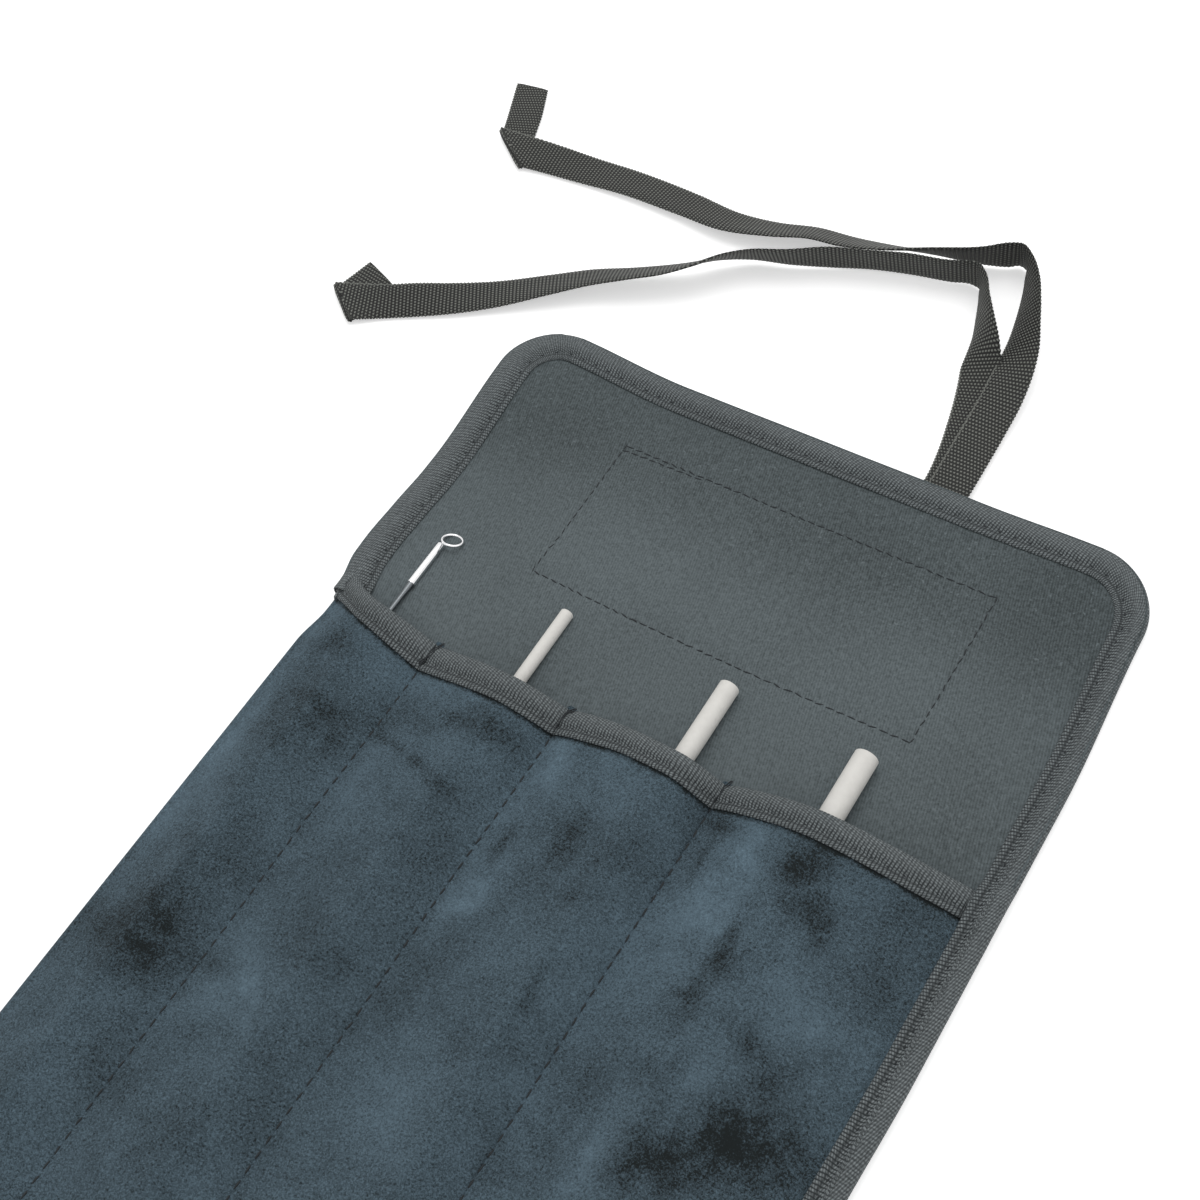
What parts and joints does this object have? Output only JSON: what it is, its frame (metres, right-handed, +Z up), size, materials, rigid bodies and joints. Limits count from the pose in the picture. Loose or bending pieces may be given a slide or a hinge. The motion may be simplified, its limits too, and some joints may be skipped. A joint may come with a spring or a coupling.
{
  "type": "brush roll case",
  "caption": "Padded fabric roll case with a fold-over flap, bound velvet tool pockets holding plain rods and a wire loop tool, and webbing ties, lying open and flat.",
  "frame": {"origin": "on the table, under the middle of the opened case's box without its ties", "axes": "+X across the pockets from the folded velvet edge to the bound right edge, +Y from the pocket bottoms to the flap's end, +Z up from the table"},
  "size_m": [0.2945, 0.4176, 0.0144],
  "materials": {
    "binding_tape": "matt ribbed binding tape, dark blue-grey",
    "velvet": "mottled short-pile velvet, dark blue",
    "twill": "matt fine twill, dark blue-grey",
    "padding": "soft felt padding, hidden inside the cloth",
    "webbing": "plain-woven webbing, dark grey with a slight sheen",
    "rod": "matt, light warm grey",
    "plated_steel": "bright nickel plate",
    "bare_steel": "satin drawn steel wire"
  },
  "bodies": {
    "column_4": {"pocket_back_4": "velvet", "upper_back_4": "twill", "padding_4": "padding", "lining_4": "twill", "pocket_front_4": "velvet", "mouth_binding_4": "binding_tape", "back_binding_4": "binding_tape", "edge_binding_4": "binding_tape"},
    "column_3": {"pocket_back_3": "velvet", "upper_back_3": "twill", "padding_3": "padding", "lining_3": "twill", "pocket_front_3": "velvet", "mouth_binding_3": "binding_tape", "back_binding_3": "binding_tape", "edge_binding_3": "binding_tape"},
    "column_2": {"pocket_back_2": "velvet", "upper_back_2": "twill", "padding_2": "padding", "lining_2": "twill", "pocket_front_2": "velvet", "mouth_binding_2": "binding_tape", "back_binding_2": "binding_tape", "edge_binding_2": "binding_tape"},
    "column_1": {"pocket_back_1": "velvet", "upper_back_1": "twill", "padding_1": "padding", "lining_1": "twill", "pocket_front_1": "velvet", "mouth_binding_1": "binding_tape", "back_binding_1": "binding_tape", "edge_binding_1": "binding_tape", "side_binding": "binding_tape"},
    "flap_4": {"flap_back_4": "twill", "flap_padding_4": "padding", "flap_lining_4": "twill", "flap_binding_4": "binding_tape", "tie_upper": "webbing", "tie_lower": "webbing"},
    "flap_3": {"flap_back_3": "twill", "flap_padding_3": "padding", "flap_lining_3": "twill", "flap_binding_3": "binding_tape"},
    "flap_2": {"flap_back_2": "twill", "flap_padding_2": "padding", "flap_lining_2": "twill", "flap_binding_2": "binding_tape"},
    "flap_1": {"flap_back_1": "twill", "flap_padding_1": "padding", "flap_lining_1": "twill", "flap_binding_1": "binding_tape"},
    "loop_tool": {"loop_wire": "plated_steel", "loop_ferrule": "plated_steel", "loop_shank": "bare_steel"},
    "small_rod": {"rod_small": "rod"},
    "medium_rod": {"rod_medium": "rod"},
    "large_rod": {"rod_large": "rod"}
  },
  "joints": [
    {"name": "roll_3", "type": "hinge", "parent": "column_4", "child": "column_3", "pos_m": [0.03, 0, 0.0062], "axis": [0, 1, 0], "range_deg": [0, 90]},
    {"name": "roll_2", "type": "hinge", "parent": "column_3", "child": "column_2", "pos_m": [-0.02, 0, 0.0062], "axis": [0, 1, 0], "range_deg": [0, 90]},
    {"name": "roll_1", "type": "hinge", "parent": "column_2", "child": "column_1", "pos_m": [-0.066, 0, 0.0062], "axis": [0, 1, 0], "range_deg": [0, 90]},
    {"name": "fold_4", "type": "hinge", "parent": "column_4", "child": "flap_4", "pos_m": [0, 0.086, 0.0085], "axis": [-1, 0, 0], "range_deg": [-176, 0]},
    {"name": "fold_3", "type": "hinge", "parent": "column_3", "child": "flap_3", "pos_m": [0, 0.086, 0.0085], "axis": [-1, 0, 0], "range_deg": [-176, 0]},
    {"name": "fold_2", "type": "hinge", "parent": "column_2", "child": "flap_2", "pos_m": [0, 0.086, 0.0085], "axis": [-1, 0, 0], "range_deg": [-176, 0]},
    {"name": "fold_1", "type": "hinge", "parent": "column_1", "child": "flap_1", "pos_m": [0, 0.086, 0.0085], "axis": [-1, 0, 0], "range_deg": [-176, 0]},
    {"name": "slide_loop_tool", "type": "slide", "parent": "column_1", "child": "loop_tool", "axis": [0, 1, 0], "range_m": [0, 0.105]},
    {"name": "slide_small_rod", "type": "slide", "parent": "column_2", "child": "small_rod", "axis": [0, 1, 0], "range_m": [0, 0.145]},
    {"name": "slide_medium_rod", "type": "slide", "parent": "column_3", "child": "medium_rod", "axis": [0, 1, 0], "range_m": [0, 0.14]},
    {"name": "slide_large_rod", "type": "slide", "parent": "column_4", "child": "large_rod", "axis": [0, 1, 0], "range_m": [0, 0.2]}
  ],
  "couplings": [
    {"joint": "fold_3", "follows": "fold_4", "ratio": 1},
    {"joint": "fold_2", "follows": "fold_4", "ratio": 1},
    {"joint": "fold_1", "follows": "fold_4", "ratio": 1}
  ]
}
